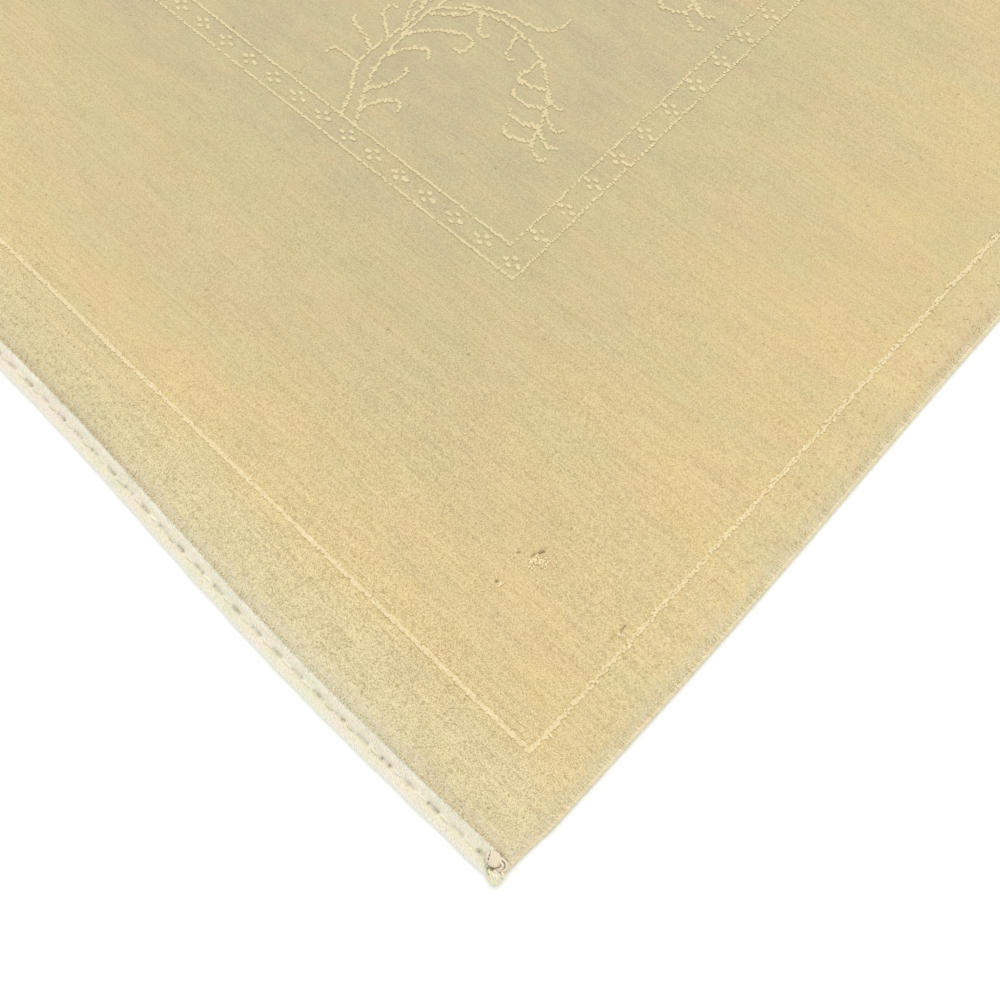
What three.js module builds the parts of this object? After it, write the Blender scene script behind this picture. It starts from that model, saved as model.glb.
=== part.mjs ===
// Gabbeh rug: a hand-knotted wool mat with an overcast cord along each side,
// folded flat-woven ends and a knot at each corner.
// Millimetres, +Z up. X runs with the weft, Y with the warp.
// The origin is on the floor under the middle of the rug.

import * as THREE from 'three';
import { mergeVertices } from 'three/addons/utils/BufferGeometryUtils.js';

// The whole rug, over its widest points
const rugWidth = 1220;
const rugLength = 1830;
const seamGap = 0.3;

// No edge is quite straight: each wanders inwards and back in a long shallow wave.
// The far end and the left side are the near end and the right side turned half round.
const endWave = { swing: 3.8, length: 644, outermostAt: 404 };
const sideWave = { swing: 1.6, length: 620, outermostAt: -692 };

// The knotted body: a soft mat with low walls and a slightly lumpy crown that rounds down to them
const pile = {
  top: 11.4,
  wall: 5.6,
  crownWidth: 11,
  columns: 22,
  rows: 32,
  edgeSteps: [0, 1.0, 4.0, 11.0],
};
const lumps = [
  { height: 0.35, acrossX: 430, acrossY: 510, shift: 0.4 },
  { height: 0.25, acrossX: 236, acrossY: 288, shift: 1.9 },
];

// The folded end: an outer fold, a stitched valley and an inner roll
const fold = {
  outerWidth: 8.4,
  outerHeight: 4.6,
  valleyWidth: 1.2,
  valleyHeight: 2.8,
  innerWidth: 7.6,
  innerHeight: 5.4,
  heel: 0.8,
  facets: 6,
  steps: 40,
};
const foldWidth = fold.outerWidth + fold.valleyWidth + fold.innerWidth;
const rolls = [
  {
    middle: foldWidth - fold.innerWidth / 2,
    half: fold.innerWidth / 2,
    height: fold.innerHeight,
    outerFoot: fold.valleyHeight,
  },
  {
    middle: fold.outerWidth / 2,
    half: fold.outerWidth / 2,
    height: fold.outerHeight,
    outerFoot: fold.heel,
  },
];

// The overcast cord along each side, flat underneath
const selvage = { width: 5.0, height: 4.8, flatBelow: 0.7, sides: 10, steps: 48 };

// The knot that ties off the stitching thread, seated over the valley of the folded end
const knot = { length: 9.2, width: 8.0, height: 5.6, fromSide: 13, turn: 0.5, sides: 12, rings: 8 };

const woolPile = new THREE.MeshStandardMaterial({ color: 0xddc996, roughness: 0.95, metalness: 0 });
const flatWeave = new THREE.MeshStandardMaterial({ color: 0xe9e6d2, roughness: 0.9, metalness: 0 });
const sideYarn = new THREE.MeshStandardMaterial({ color: 0xdcd7ae, roughness: 0.9, metalness: 0 });
const knotYarn = new THREE.MeshStandardMaterial({ color: 0xece0cc, roughness: 0.85, metalness: 0 });

// How far an edge lies inside its outermost line, at a place along that edge
function insetAt(wave, along) {
  const turn = (2 * Math.PI * (along - wave.outermostAt)) / wave.length;
  return wave.swing * (1 - Math.cos(turn));
}

const nearEdge = (x) => -rugLength / 2 + insetAt(endWave, x);
const farEdge = (x) => rugLength / 2 - insetAt(endWave, -x);
const rightEdge = (y) => rugWidth / 2 - insetAt(sideWave, y);
const leftEdge = (y) => -rugWidth / 2 + insetAt(sideWave, -y);

// Only positions are kept, so that neighbouring faces share their corners
function closedMesh(geometry) {
  geometry.deleteAttribute('normal');
  geometry.deleteAttribute('uv');
  const closed = mergeVertices(geometry, 1e-4);
  closed.computeVertexNormals();
  return closed;
}

function moveVertices(geometry, place) {
  const position = geometry.attributes.position;
  const point = new THREE.Vector3();
  for (let i = 0; i < position.count; i += 1) {
    point.fromBufferAttribute(position, i);
    place(point);
    position.setXYZ(i, point.x, point.y, point.z);
  }
}

// The edges lean on both x and y, so a place between them settles in a few passes
function settle(placeX, placeY) {
  let x = 0;
  let y = 0;
  for (let pass = 0; pass < 4; pass += 1) {
    y = placeY(x);
    x = placeX(y);
  }
  return [x, y];
}

// Stations lie close together over the rounded crown and evenly in between
function stationAt(share, count, low, high) {
  const index = Math.round(share * count);
  const steps = pile.edgeSteps;
  const last = steps.length - 1;
  if (index <= last) {
    return low + steps[index];
  }
  if (count - index <= last) {
    return high - steps[count - index];
  }
  const between = (index - last) / (count - 2 * last);
  return low + steps[last] + between * (high - low - 2 * steps[last]);
}

function crownAt(x, y, fromWall) {
  const short = 1 - THREE.MathUtils.clamp(fromWall / pile.crownWidth, 0, 1);
  const crown = pile.wall + (pile.top - pile.wall) * Math.sqrt(1 - short * short);
  const lump = lumps.reduce((sum, wave) => {
    const alongX = Math.sin((2 * Math.PI * x) / wave.acrossX + wave.shift);
    const alongY = Math.sin((2 * Math.PI * y) / wave.acrossY - wave.shift);
    return sum + wave.height * alongX * alongY;
  }, 0);
  return crown + (1 - short) * lump;
}

function makePileBody() {
  const block = new THREE.BoxGeometry(1, 1, 1, pile.columns, pile.rows, 1);
  const insideFold = foldWidth + seamGap;
  const insideSelvage = selvage.width + seamGap;
  const low = (y) => leftEdge(y) + insideSelvage;
  const high = (y) => rightEdge(y) - insideSelvage;
  const near = (x) => nearEdge(x) + insideFold;
  const far = (x) => farEdge(x) - insideFold;
  moveVertices(block, (point) => {
    const [x, y] = settle(
      (atY) => stationAt(point.x + 0.5, pile.columns, low(atY), high(atY)),
      (atX) => stationAt(point.y + 0.5, pile.rows, near(atX), far(atX)),
    );
    const fromWall = Math.min(x - low(y), high(y) - x, y - near(x), far(x) - y);
    point.set(x, y, point.z > 0 ? crownAt(x, y, fromWall) : 0);
  });
  return closedMesh(block);
}

// A point on a roll's back: no turn is its inner foot, half a turn its outer foot
function rollPoint(roll, turn) {
  const foot = Math.cos(turn) < 0 ? roll.outerFoot : fold.valleyHeight;
  const inwards = roll.middle + roll.half * Math.cos(turn);
  return new THREE.Vector2(inwards, foot + (roll.height - foot) * Math.sin(turn));
}

// The section stands on its flat base: x is the way in from the edge, y is up
function foldSection() {
  const outline = [new THREE.Vector2(fold.heel, 0), new THREE.Vector2(foldWidth, 0)];
  rolls.forEach((roll) => {
    for (let i = 0; i <= fold.facets; i += 1) {
      outline.push(rollPoint(roll, (Math.PI * i) / fold.facets));
    }
  });
  return new THREE.Shape(outline);
}

function makeEndBinding() {
  const inside = selvage.width + seamGap;
  const low = (y) => leftEdge(y) + inside;
  const high = (y) => rightEdge(y) - inside;
  const run = new THREE.ExtrudeGeometry(foldSection(), { depth: 1, steps: fold.steps, bevelEnabled: false });
  moveVertices(run, (point) => {
    const [inwards, up, along] = [point.x, point.y, point.z];
    const [x, y] = settle(
      (atY) => low(atY) + along * (high(atY) - low(atY)),
      (atX) => nearEdge(atX) + inwards,
    );
    point.set(x, y, up);
  });
  return closedMesh(run);
}

function selvageSection() {
  const outline = [];
  for (let i = 0; i < selvage.sides; i += 1) {
    const turn = (2 * Math.PI * (i + 0.5)) / selvage.sides - Math.PI / 2;
    const share = (Math.sin(turn) + selvage.flatBelow) / (1 + selvage.flatBelow);
    outline.push(new THREE.Vector2((selvage.width / 2) * Math.cos(turn), selvage.height * Math.max(share, 0)));
  }
  return new THREE.Shape(outline);
}

function makeSelvage() {
  const low = nearEdge(rugWidth / 2);
  const high = farEdge(rugWidth / 2);
  const run = new THREE.ExtrudeGeometry(selvageSection(), { depth: 1, steps: selvage.steps, bevelEnabled: false });
  moveVertices(run, (point) => {
    const [across, up, along] = [point.x, point.y, point.z];
    const y = high - along * (high - low);
    point.set(rightEdge(y) - selvage.width / 2 + across, y, up);
  });
  return closedMesh(run);
}

function makeKnot() {
  const ball = new THREE.SphereGeometry(0.5, knot.sides, knot.rings);
  ball.rotateX(Math.PI / 2);
  ball.scale(knot.length, knot.width, knot.height);
  return closedMesh(ball);
}

// The knot is as low as its round underside lets it sink between the two rolls
function knotSeat(overInwards) {
  let seat = 0;
  rolls.forEach((roll) => {
    for (let degrees = 0; degrees <= 180; degrees += 5) {
      const crest = rollPoint(roll, THREE.MathUtils.degToRad(degrees));
      const reach = Math.abs(crest.x - overInwards) / (knot.length / 2);
      if (reach < 1) {
        const underside = (knot.height / 2) * Math.sqrt(1 - reach * reach);
        seat = Math.max(seat, crest.y + seamGap + underside);
      }
    }
  });
  return seat;
}

// One end of the rug: its folded binding and the knot at each corner
function makeEnd(endName, sideNames) {
  const end = new THREE.Group();
  const binding = new THREE.Mesh(makeEndBinding(), flatWeave);
  binding.name = `end_binding_${endName}`;
  end.add(binding);
  const overInwards = fold.outerWidth + fold.valleyWidth / 2;
  sideNames.forEach((sideName, i) => {
    const side = i === 0 ? 1 : -1;
    const x = side * (rugWidth / 2 - knot.fromSide);
    const tied = new THREE.Mesh(makeKnot(), knotYarn);
    tied.name = `corner_knot_${endName}_${sideName}`;
    tied.position.set(x, nearEdge(x) + overInwards, knotSeat(overInwards));
    tied.rotation.z = side * knot.turn;
    end.add(tied);
  });
  return end;
}

const rug = new THREE.Group();

const pileBody = new THREE.Mesh(makePileBody(), woolPile);
pileBody.name = 'pile_body';

const nearEnd = makeEnd('near', ['right', 'left']);
const farEnd = makeEnd('far', ['left', 'right']);
farEnd.rotation.z = Math.PI;

const rightSide = new THREE.Mesh(makeSelvage(), sideYarn);
rightSide.name = 'selvage_right';
const leftSide = new THREE.Mesh(makeSelvage(), sideYarn);
leftSide.name = 'selvage_left';
leftSide.rotation.z = Math.PI;

rug.add(pileBody, nearEnd, farEnd, rightSide, leftSide);

export default rug;
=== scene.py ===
import math

import bmesh
import bpy
import numpy as np
from mathutils import Euler, Matrix, Vector


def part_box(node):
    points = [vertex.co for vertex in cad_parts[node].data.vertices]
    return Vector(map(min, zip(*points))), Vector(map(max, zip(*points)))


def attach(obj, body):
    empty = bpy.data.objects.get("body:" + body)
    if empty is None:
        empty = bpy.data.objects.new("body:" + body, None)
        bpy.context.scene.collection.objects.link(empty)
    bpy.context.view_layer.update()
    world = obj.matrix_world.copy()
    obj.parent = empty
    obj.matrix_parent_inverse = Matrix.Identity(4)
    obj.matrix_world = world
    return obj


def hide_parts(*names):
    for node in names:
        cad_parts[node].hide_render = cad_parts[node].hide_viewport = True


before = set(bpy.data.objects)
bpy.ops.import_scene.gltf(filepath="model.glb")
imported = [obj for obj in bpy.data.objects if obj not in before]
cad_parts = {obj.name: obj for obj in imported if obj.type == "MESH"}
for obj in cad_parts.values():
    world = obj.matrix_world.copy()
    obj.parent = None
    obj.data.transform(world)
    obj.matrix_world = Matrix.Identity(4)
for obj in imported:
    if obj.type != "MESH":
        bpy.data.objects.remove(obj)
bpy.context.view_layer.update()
mm = 0.001
dice = np.random.default_rng(41)
print("frame loaded")

# The camera stands over the right-hand corner of the near end and looks steeply down
camera = {
    "place": (0.61804, -0.84091, 0.65454),
    "turn": (18.610, 4.743, 43.535),
    "lens": 34.096,
}
photoCamera = bpy.data.cameras.new("photo_camera")
photoCamera.lens = camera["lens"]
photoCamera.sensor_width = 36
photoCamera.clip_start = 0.01
photoCamera.clip_end = 60
cameraStand = bpy.data.objects.new("photo_camera", photoCamera)
cameraStand.location = camera["place"]
cameraStand.rotation_euler = Euler([math.radians(angle) for angle in camera["turn"]], "XYZ")
bpy.context.scene.collection.objects.link(cameraStand)
bpy.context.scene.camera = cameraStand

# The outline, the same as the CAD's: every edge wanders inwards and back in a long shallow wave.
# The far end and the left side are the near end and the right side turned half round.
rug = {
    "width": 1220 * mm,
    "length": 1830 * mm,
    "endSwing": 3.8 * mm,
    "endWave": 644 * mm,
    "endOutermost": 404 * mm,
    "sideSwing": 1.6 * mm,
    "sideWave": 620 * mm,
    "sideOutermost": -692 * mm,
    "foldWidth": 17.2 * mm,
    "selvageWidth": 5.0 * mm,
    "seamGap": 0.3 * mm,
}


def wander(swing, wave, outermost, along):
    return swing * (1 - np.cos(2 * np.pi * (along - outermost) / wave))


def endInset(x):
    return wander(rug["endSwing"], rug["endWave"], rug["endOutermost"], x)


def sideInset(y):
    return wander(rug["sideSwing"], rug["sideWave"], rug["sideOutermost"], y)


def nearEdge(x):
    return -rug["length"] / 2 + endInset(x)


def farEdge(x):
    return rug["length"] / 2 - endInset(-x)


def rightEdge(y):
    return rug["width"] / 2 - sideInset(y)


def leftEdge(y):
    return -rug["width"] / 2 + sideInset(-y)


# An uneven wave along one line, swayed by a second wave along the same line or another
def unevenWave(along, across, lengths):
    length, sway, swayLength = lengths
    return np.sin(along / length + sway * np.sin(across / swayLength))


# 1 at a place and fading to nothing about two widths from it
def fade(away, width):
    return np.exp(-((away / width) ** 2))


# The soft crown of the pile, rounded down to its low walls and slightly lumpy
crown = {
    "top": 11.4 * mm,
    "wall": 5.6 * mm,
    "width": 11 * mm,
    "roundness": 0.72,
    "lumps": [(0.35 * mm, 430 * mm, 510 * mm, 0.4), (0.25 * mm, 236 * mm, 288 * mm, 1.9)],
    "ruffle": 0.07 * mm,
    "ruffleAlongX": (6.7 * mm, 1.7, 11.1 * mm),
    "ruffleAlongY": (5.3 * mm, 1.9, 8.7 * mm),
    "belowTips": 0.3 * mm,
    "overSelvage": 1.6 * mm,
    "overFold": 0.7 * mm,
}


def fromWall(x, y):
    inSelvage = rug["selvageWidth"] + rug["seamGap"]
    inFold = rug["foldWidth"] + rug["seamGap"]
    across = np.minimum(x - leftEdge(y) - inSelvage, rightEdge(y) - inSelvage - x)
    along = np.minimum(y - nearEdge(x) - inFold, farEdge(x) - inFold - y)
    return np.minimum(across, along)


def tipHeight(x, y):
    short = 1 - np.clip(fromWall(x, y) / crown["width"], 0, 1)
    height = crown["wall"] + (crown["top"] - crown["wall"]) * (1 - short**2) ** crown["roundness"]
    for lift, acrossX, acrossY, shift in crown["lumps"]:
        lump = np.sin(2 * np.pi * x / acrossX + shift) * np.sin(2 * np.pi * y / acrossY - shift)
        height = height + lift * lump * (1 - short)
    return height


# Worn spots, each a short dark cleft in the pile: place, length, width, turn and depth
wornClefts = [
    (466.4, -739.6, 1.4, 0.6, 60, 1.0),
    (478.2, -728.6, 3.6, 0.9, 62, 1.2),
    (475.4, -734.0, 3.4, 0.8, 74, 0.8),
    (469.2, -765.2, 1.4, 0.7, 60, 1.3),
    (555.6, -730.4, 4.2, 0.8, 92, 0.9),
    (554.4, -739.2, 3.4, 0.7, 101, 0.6),
    (557.6, -734.8, 2.2, 0.7, -30, 0.5),
]


def cleftDepth(x, y):
    depth = np.zeros_like(x)
    for placeX, placeY, length, width, turn, deep in wornClefts:
        c, s = math.cos(math.radians(turn)), math.sin(math.radians(turn))
        offX, offY = x - placeX * mm, y - placeY * mm
        along = np.clip(offX * c + offY * s, -length / 2 * mm, length / 2 * mm)
        away = np.hypot(offX - along * c, offY - along * s)
        depth = np.maximum(depth, deep * mm * fade(away, width * mm))
    return depth


def bodyHeight(x, y):
    ruffle = unevenWave(x, y, crown["ruffleAlongX"]) + unevenWave(y, x, crown["ruffleAlongY"])
    return tipHeight(x, y) - crown["belowTips"] + crown["ruffle"] * ruffle - cleftDepth(x, y)


# Helpers for meshes and pieces


# A flat grid, with the column and the row that each of its corners is in
def startGrid(columns, rows):
    bm = bmesh.new()
    bmesh.ops.create_grid(bm, x_segments=columns, y_segments=rows, size=1)
    flat = np.array([vert.co[:2] for vert in bm.verts])
    atX, atY = np.rint((flat + 1) / 2 * (columns, rows)).astype(int).T
    return bm, atX, atY


def setPlaces(bm, places):
    for vert, place in zip(bm.verts, places):
        vert.co = place


def toMesh(bm, name):
    mesh = bpy.data.meshes.new(name)
    bm.to_mesh(mesh)
    bm.free()
    return mesh


def setAttribute(mesh, name, values):
    layer = mesh.attributes.new(name, "FLOAT", "POINT")
    layer.data.foreach_set("value", np.asarray(values, np.float32).ravel())


# A map from above for baking, leaning with height so that no face has zero width
bakeMap = {"lean": (0.31, 0.47), "rim": 0.002}


def addBakeMap(mesh):
    places = np.empty(len(mesh.vertices) * 3, np.float32)
    mesh.vertices.foreach_get("co", places)
    places = places.reshape(-1, 3)
    flat = places[:, :2] + places[:, 2:] * np.array(bakeMap["lean"], np.float32)
    flat = (flat - flat.min(0)) / (flat.max(0) - flat.min(0)) * (1 - 2 * bakeMap["rim"]) + bakeMap["rim"]
    corners = np.empty(len(mesh.loops), np.int32)
    mesh.loops.foreach_get("vertex_index", corners)
    mesh.uv_layers.new(name="OFBake").data.foreach_set("uv", flat[corners].ravel())


def addPiece(name, mesh, materials, replaced):
    piece = bpy.data.objects.new(name, mesh)
    bpy.context.scene.collection.objects.link(piece)
    for material in materials:
        mesh.materials.append(material)
    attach(piece, "root")
    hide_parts(replaced)
    triangles = sum(len(face.vertices) - 2 for face in mesh.polygons)
    print(f"{name}: {triangles} triangles")
    return piece


# One small shape, its corners as an array and its faces as triangles
def readShape(bm):
    bmesh.ops.triangulate(bm, faces=bm.faces[:])
    bm.verts.index_update()
    corners = np.array([vert.co for vert in bm.verts])
    faces = np.array([[vert.index for vert in face.verts] for face in bm.faces])
    bm.free()
    return corners, faces


# An upright bundle of a few sides, from its foot at zero to a pointed tip at one
def makeBundle(sides, foot, top, tall):
    bm = bmesh.new()
    bmesh.ops.create_cone(bm, cap_ends=True, segments=sides, radius1=foot, radius2=top, depth=tall)
    bmesh.ops.translate(bm, verts=bm.verts[:], vec=(0, 0, tall / 2))
    highest = max(bm.faces, key=lambda face: face.calc_center_median().z)
    bmesh.ops.poke(bm, faces=[highest], offset=1 - tall)
    return readShape(bm)


# Many copies of one shape as a single mesh: copies is (count, corners, 3)
def joinCopies(name, copies, faces, **values):
    count, corners = copies.shape[:2]
    mesh = bpy.data.meshes.new(name)
    allFaces = (faces[None] + corners * np.arange(count)[:, None, None]).reshape(-1, 3)
    mesh.from_pydata(copies.reshape(-1, 3), [], allFaces)
    for key, value in values.items():
        setAttribute(mesh, key, np.broadcast_to(value, (count, corners)))
    addBakeMap(mesh)
    return mesh


# A tube of yarn along a line of points, closed at both ends
def layYarn(bm, points, thick, sides):
    points = [Vector(point) for point in points]
    sizes = np.broadcast_to(thick, len(points)).tolist()
    ring = bmesh.ops.create_circle(bm, cap_ends=True, segments=sides, radius=1)["verts"]
    offsets = [vert.co.copy() for vert in ring]
    edges = list({edge for vert in ring for edge in vert.link_edges})
    for index, point in enumerate(points):
        ahead = points[min(index + 1, len(points) - 1)] - points[max(index - 1, 0)]
        turn = ahead.to_track_quat("Z", "Y").to_matrix()
        if index:
            grown = bmesh.ops.extrude_edge_only(bm, edges=edges)["geom"]
            ring = [item for item in grown if isinstance(item, bmesh.types.BMVert)]
            edges = [item for item in grown if isinstance(item, bmesh.types.BMEdge)]
            edges = [edge for edge in edges if all(vert in ring for vert in edge.verts)]
        for vert, offset in zip(ring, offsets):
            vert.co = point + turn @ (offset * sizes[index])
    bmesh.ops.contextual_create(bm, geom=edges)


# Materials


def linear(hexColour):
    value = int(hexColour.lstrip("#"), 16)
    shares = [((value >> shift) & 255) / 255 for shift in (16, 8, 0)]
    return [c / 12.92 if c <= 0.04045 else ((c + 0.055) / 1.055) ** 2.4 for c in shares] + [1.0]


# Adds a node: settings are its properties or, by number or name, its sockets.
# Links join an input to another node's socket, or to that node's first one.
def addNode(tree, kind, settings=None, links=None):
    node = tree.nodes.new(f"ShaderNode{kind}")
    for key, value in (settings or {}).items():
        if isinstance(key, int) or key in node.inputs:
            node.inputs[key].default_value = value
        else:
            setattr(node, key, value)
    for key, source in (links or {}).items():
        socket = source.outputs[0] if isinstance(source, bpy.types.Node) else source
        tree.links.new(socket, node.inputs[key])
    return node


# Settings that turn values from low to high into shares from least to most
def spread(low, high, least=0.0, most=1.0):
    return {1: low, 2: high, 3: least, 4: most}


# Settings that mix two colours, of which one or both may be linked in instead
def between(first=None, second=None):
    colours = {key: linear(colour) for key, colour in ((6, first), (7, second)) if colour}
    return {"data_type": "RGBA", **colours}


# A material's finish is its roughness and gloss, and the weight and roughness of its sheen
def startMaterial(name, baseHex, finish):
    material = bpy.data.materials.new(name)
    material.use_nodes = True
    material.diffuse_color = linear(baseHex)
    tree = material.node_tree
    tree.nodes.clear()
    sockets = ("Roughness", "Specular IOR Level", "Sheen Weight", "Sheen Roughness")
    settings = {"Base Color": linear(baseHex), **dict(zip(sockets, finish))}
    surface = addNode(tree, "BsdfPrincipled", settings)
    addNode(tree, "OutputMaterial", {}, {"Surface": surface})
    return material, tree, surface


# Links the colour in and, where a height is given, a relief of a strength and a depth
def finishSurface(tree, surface, colour, height=None, relief=None):
    tree.links.new(colour.outputs[2], surface.inputs["Base Color"])
    if relief:
        strength, depth = relief
        bump = addNode(tree, "Bump", {"Strength": strength, "Distance": depth}, {"Height": height})
        tree.links.new(bump.outputs[0], surface.inputs["Normal"])


# Hand-spun wool, knotted and cut short: dull and without gloss, a fine grain of paler curls over darker gaps
# that are painted shade, uneven batches of yarn along the weft, darker and greyer in the middle as painted
# shade, and painted light and shade along the rim
woolPile = {
    "finish": (0.95, 0.15, 0.1, 0.6),
    # the margin's tone, and the middle's, darker and greyer as painted shade where the light falls off
    "margin": "#D5BD84",
    "middle": "#B0A586",
    "camel": "#CDB18A",
    "sage": "#BBB58B",
    # painted shade in the gaps between the curls
    "gapShade": "#9A8658",
    "tip": "#EAD7A4",
    # painted shade in small gaps between the knots
    "speckShade": "#7D6C45",
    # painted shade in the worn clefts, darker where they are deeper
    "cleftShade": "#7F6F4B",
    "marginSpan": ((0.26, 0.52), (0.60, 0.82)),
    "cornerSpan": ((0.0, 0.35), (0.3, 0.65)),
    "alongSides": 0.75,
    # painted light and shade near the rim: a greyer tone near each end, then paler tones that light the rim
    # and sides against the crown's shade
    "rimLightAndShade": [
        ("#D8D5BC", 0.28, ((1.0, 1.1), (0.825, 0.885))),
        ("#E9E2C6", 0.45, ((1.0, 1.1), (0.882, 0.8965))),
        ("#FFFAE1", 0.04, ((0.55, 0.58), (1.0, 1.1))),
        ("#FFFAE1", 0.08, ((0.59, 0.6), (1.0, 1.1))),
        ("#FFFAE1", 0.2, ((0.5985, 0.6045), (0.889, 0.903))),
    ],
    # length along the weft, width, detail and roughness of each unevenness of the yarn
    "batch": (700 * mm, 60 * mm, 3, 0.5),
    "patch": (64 * mm, 24 * mm, 3, 0.55),
    "streak": (56 * mm, 2.6 * mm, 2, 0.5),
    "fibre": {"Scale": 1 / (0.95 * mm), "Detail": 2},
    "curl": {"Scale": 1 / (1.9 * mm), "Detail": 1, "Distortion": 0.8},
    "speckling": {"Scale": 1 / (1.5 * mm), "Detail": 0},
    # the noise from and to, and the least and most that it gives
    "batchMargin": (0.3, 0.7, -0.18, 0.18),
    "toneShare": (0.42, 0.66, 0.05, 0.5),
    "curlLift": (0.0, 0.12, 0.0, 0.5),
    "fibreLift": (0.42, 0.58, 0.0, 0.76),
    "streakLift": (0.3, 0.7, -0.26, 0.16),
    "speckShare": (0.66, 0.76, 0.0, 0.6),
    # how much darker a strand is at its root, painted shade where it goes into the pile
    "strandRootShade": 0.3,
    "contrast": (0.31, 0.47),
    "livelySpan": ((1.0, 1.1), (0.48, 0.72)),
    "calmMiddle": 0.68,
    "calmSpan": ((0.08, 0.42), (1.0, 1.1)),
    "liveliest": 0.26,
    "liveliestSpan": ((1.0, 1.1), (0.8, 0.87)),
    "relief": (0.3, 0.5 * mm),
}


# How near the sides or ends a place lies: 1 out at the rim, 0 in the middle.
# The spans say where that begins and where it is full, across and along the rug.
def outerShare(tree, place, spans, choice="MAXIMUM"):
    reach = addNode(tree, "VectorMath", {"operation": "ABSOLUTE"}, {0: place})
    reach = addNode(tree, "SeparateXYZ", {}, {0: reach})
    nearSide = addNode(tree, "MapRange", spread(*spans[0]), {0: reach.outputs[0]})
    nearEnd = addNode(tree, "MapRange", spread(*spans[1]), {0: reach.outputs[1]})
    return addNode(tree, "Math", {"operation": choice}, {0: nearSide, 1: nearEnd})


# The margin, fullest at the corners and fainter halfway along the sides and ends; inside it, painted shade
# darkens and greys the middle
def marginShare(tree, place):
    margin = outerShare(tree, place, woolPile["marginSpan"])
    corner = outerShare(tree, place, woolPile["cornerSpan"], "MINIMUM")
    kept = addNode(tree, "MapRange", {3: woolPile["alongSides"]}, {0: corner})
    return addNode(tree, "Math", {"operation": "MULTIPLY"}, {0: margin, 1: kept})


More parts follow.
